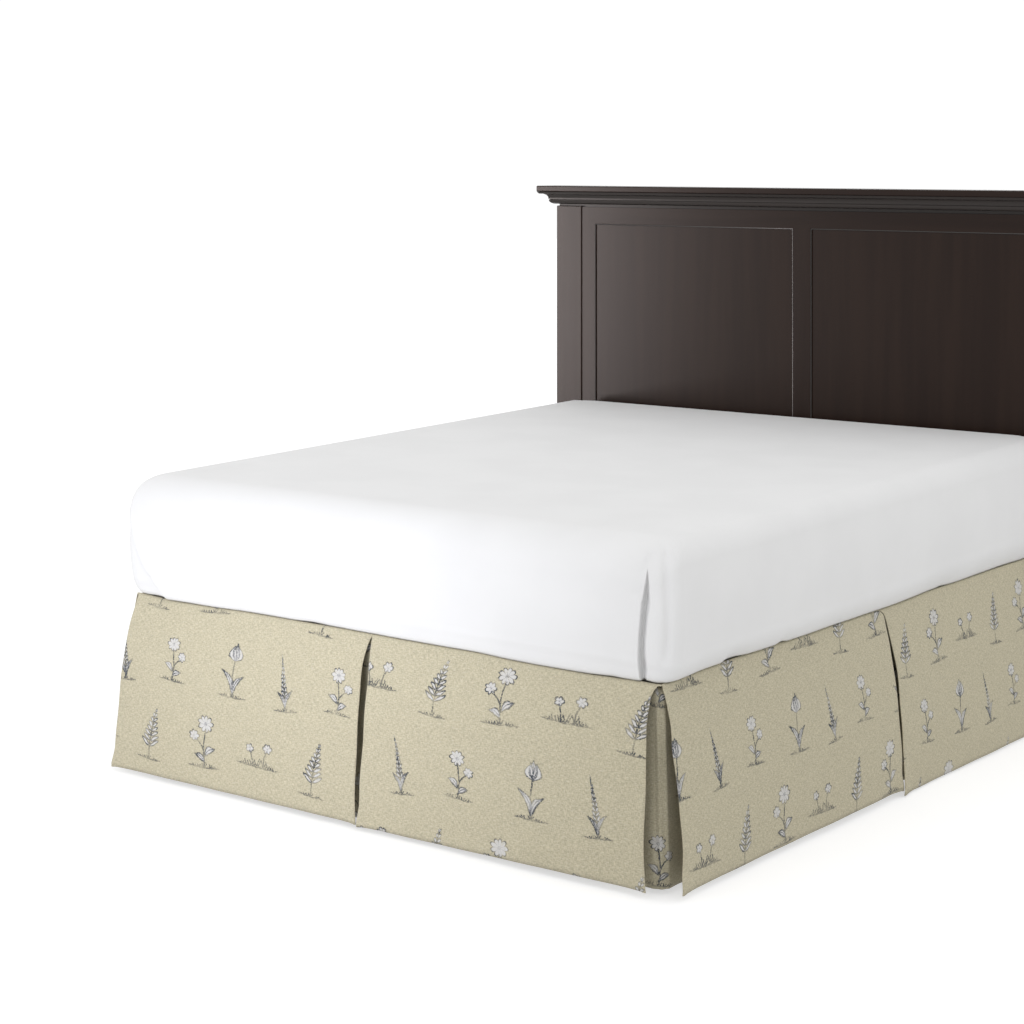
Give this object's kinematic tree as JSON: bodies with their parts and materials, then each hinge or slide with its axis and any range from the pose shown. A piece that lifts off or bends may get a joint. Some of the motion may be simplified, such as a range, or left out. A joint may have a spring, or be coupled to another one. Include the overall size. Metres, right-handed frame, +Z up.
{
  "type": "bed skirt on a bed",
  "caption": "Tailored bed skirt with inverted pleats, hung from its deck on a made-up bed with a panelled wooden headboard.",
  "frame": {"origin": "on the floor, under the middle of the whole object's box", "axes": "+Z up, the foot of the bed towards -Y and the headboard towards +Y, +X to the right seen from the foot"},
  "size_m": [1.824, 2.171, 1.4425],
  "materials": {
    "printed_linen": "slubby linen weave, oatmeal, with ink-blue botanical print",
    "printed_linen_underlay": "slubby linen weave, oatmeal, with ink-blue botanical print",
    "deck_cloth": "plain woven cloth",
    "white_sheet": "smooth fine cotton",
    "mattress_ticking": "plain knitted ticking",
    "box_cloth": "plain woven cloth",
    "frame_steel": "black powder coat",
    "dark_wood": "dark stain, satin lacquer"
  },
  "bodies": {
    "root": {"bed_sheet": "white_sheet", "box_spring": "box_cloth", "frame_cross_foot": "frame_steel", "frame_cross_head": "frame_steel", "frame_cross_middle": "frame_steel", "frame_leg_foot_left": "frame_steel", "frame_leg_foot_right": "frame_steel", "frame_leg_head_left": "frame_steel", "frame_leg_head_right": "frame_steel", "frame_leg_middle_left": "frame_steel", "frame_leg_middle_right": "frame_steel", "frame_rail_left": "frame_steel", "frame_rail_right": "frame_steel", "headboard_cap": "dark_wood", "headboard_crown": "dark_wood", "headboard_lower_rail": "dark_wood", "headboard_mount_rail": "dark_wood", "headboard_mullion": "dark_wood", "headboard_panel_left": "dark_wood", "headboard_panel_right": "dark_wood", "headboard_plate_left": "frame_steel", "headboard_plate_right": "frame_steel", "headboard_post_left": "dark_wood", "headboard_post_right": "dark_wood", "headboard_stile_left": "dark_wood", "headboard_stile_right": "dark_wood", "headboard_top_rail": "dark_wood", "mattress": "mattress_ticking", "skirt_deck": "deck_cloth", "skirt_panel_foot_left": "printed_linen", "skirt_panel_foot_right": "printed_linen", "skirt_panel_left_foot": "printed_linen", "skirt_panel_left_head": "printed_linen", "skirt_panel_right_foot": "printed_linen", "skirt_panel_right_head": "printed_linen", "skirt_underlay_corner_left": "printed_linen_underlay", "skirt_underlay_corner_right": "printed_linen_underlay", "skirt_underlay_foot": "printed_linen_underlay", "skirt_underlay_left": "printed_linen_underlay", "skirt_underlay_right": "printed_linen_underlay"}
  },
  "joints": []
}
